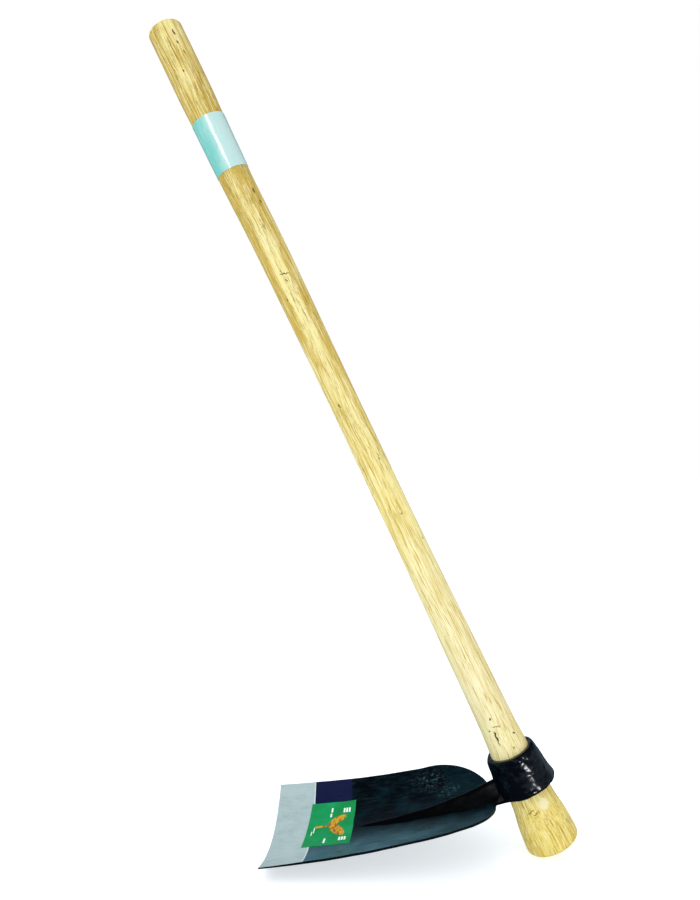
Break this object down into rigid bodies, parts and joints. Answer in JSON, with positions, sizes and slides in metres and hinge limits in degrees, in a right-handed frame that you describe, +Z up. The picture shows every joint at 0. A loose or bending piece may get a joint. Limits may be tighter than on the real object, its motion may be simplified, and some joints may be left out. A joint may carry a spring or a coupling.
{
  "type": "grub hoe",
  "caption": "Grub hoe: a dished forged blade with a round tapered eye, wedged on the flared end of a straight wooden handle.",
  "frame": {"origin": "on the ground under the middle of the standing hoe's outer box", "axes": "+Z up; -X is the side the blade points to and the handle leans over; Y runs across the blade"},
  "size_m": [0.507, 0.1944, 0.9042],
  "materials": {
    "handle_wood": "hand-shaved bare hardwood, straight grained",
    "label_film": "pale aqua gloss film",
    "eye_paint": "gloss black paint over a forged surface",
    "rib_paint": "satin black paint over a forged surface",
    "blade_paint": "satin slate-black paint, ground bright along the cutting edge",
    "sticker_paper": "printed green gloss paper"
  },
  "bodies": {
    "handle": {"handle": "handle_wood", "handle_label": "label_film"},
    "head": {"eye_ring": "eye_paint", "neck_rib": "rib_paint", "blade": "blade_paint", "blade_sticker": "sticker_paper"}
  },
  "joints": [
    {"name": "head_slide", "type": "slide", "parent": "handle", "child": "head", "axis": [-0.4667, 0, 0.8844], "range_m": [0, 0.887]}
  ]
}
